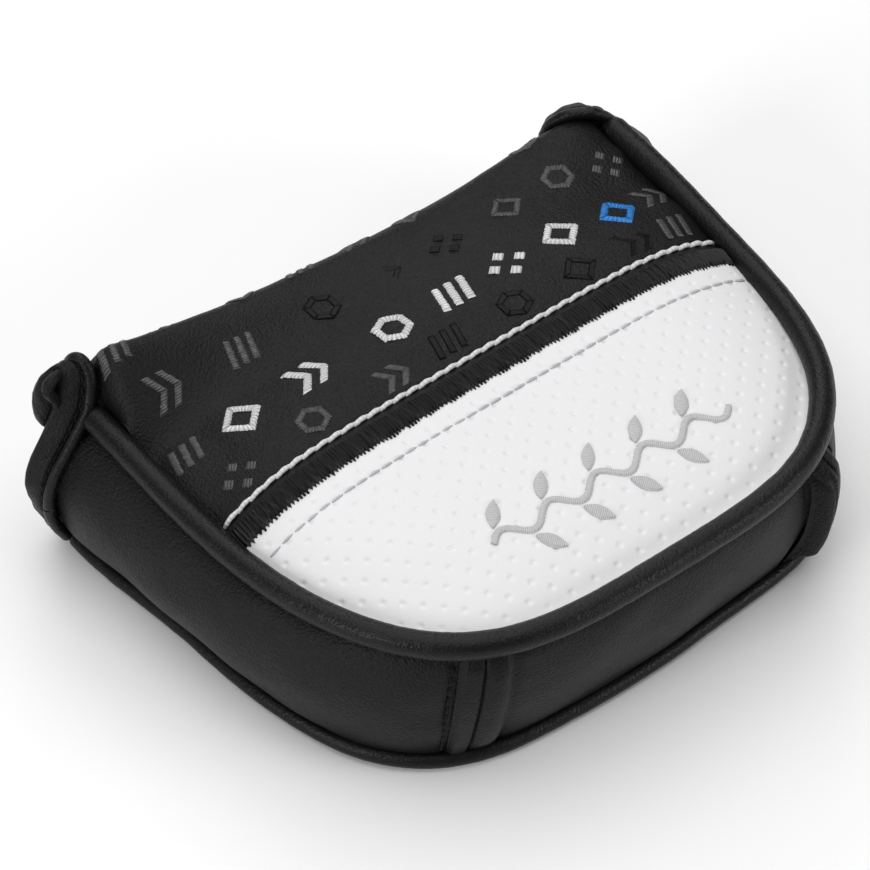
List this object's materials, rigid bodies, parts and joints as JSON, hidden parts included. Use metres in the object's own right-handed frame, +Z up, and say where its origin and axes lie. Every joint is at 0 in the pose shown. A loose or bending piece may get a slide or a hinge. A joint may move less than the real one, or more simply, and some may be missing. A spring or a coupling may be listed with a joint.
{
  "type": "putter head cover",
  "caption": "Padded mallet putter head cover with a rounded nose, piped edges, a perforated light nose panel and a hinged rear flap held under the sole.",
  "frame": {"origin": "bottom centre of the closed cover's bounding box, on the plane the sole stands on", "axes": "+Z up from the sole to the padded top, -Y towards the rounded nose, +Y towards the flap, -X heel side and +X toe side"},
  "size_m": [0.1556, 0.1111, 0.0481],
  "materials": {
    "black_leather": "fine pebbled synthetic leather, soft sheen",
    "black_piping": "stretched synthetic leather over a cord, satin",
    "white_leather": "smooth white synthetic leather with pin dimples",
    "black_thread": "polyester embroidery thread",
    "white_thread": "polyester embroidery thread",
    "blue_thread": "polyester embroidery thread",
    "grey_thread": "polyester embroidery thread",
    "dark_thread": "polyester embroidery thread, tonal",
    "lining": "brushed knit lining",
    "foam": "soft foam padding",
    "cord": "extruded piping cord",
    "stiffener": "thin plastic sheet",
    "magnet": "plated disc",
    "keeper": "steel disc"
  },
  "bodies": {
    "shell": {"top_panel": "black_leather", "perforated_panel": "white_leather", "satin_band": "black_thread", "seam_topstitch": "white_thread", "panel_topstitch": "grey_thread", "top_foam": "foam", "top_lining": "lining", "roll_bolster": "foam", "top_piping_cover": "black_piping", "top_piping_cord": "cord", "heel_side_panel": "black_leather", "nose_side_panel": "black_leather", "toe_side_panel": "black_leather", "heel_pleat": "black_leather", "toe_pleat": "black_leather", "pleat_stitches": "black_thread", "side_foam": "foam", "side_lining": "lining", "sole_panel": "black_leather", "sole_foam": "foam", "sole_lining": "lining", "sole_piping": "black_piping", "sole_keepers": "keeper", "heel_mouth_band": "black_leather", "heel_mouth_fold": "black_piping", "toe_mouth_band": "black_leather", "toe_mouth_fold": "black_piping", "white_motifs": "white_thread", "blue_motif": "blue_thread", "grey_motifs": "dark_thread", "panel_flourish": "grey_thread"},
    "flap": {"flap_panel": "black_leather", "flap_foam": "foam", "flap_lining": "lining", "flap_heel_binding": "black_piping", "flap_toe_binding": "black_piping", "flap_topstitch": "black_thread"},
    "tongue": {"tongue_panel": "black_leather", "tongue_core": "stiffener", "tongue_magnets": "magnet", "tongue_lining": "lining"}
  },
  "joints": [
    {"name": "flap_fold", "type": "hinge", "parent": "shell", "child": "flap", "pos_m": [0, 0.0541, 0.0295], "axis": [1, 0, 0], "range_deg": [0, 100]},
    {"name": "tongue_fold", "type": "hinge", "parent": "flap", "child": "tongue", "pos_m": [0, 0.0541, 0], "axis": [1, 0, 0], "range_deg": [0, 92]}
  ]
}
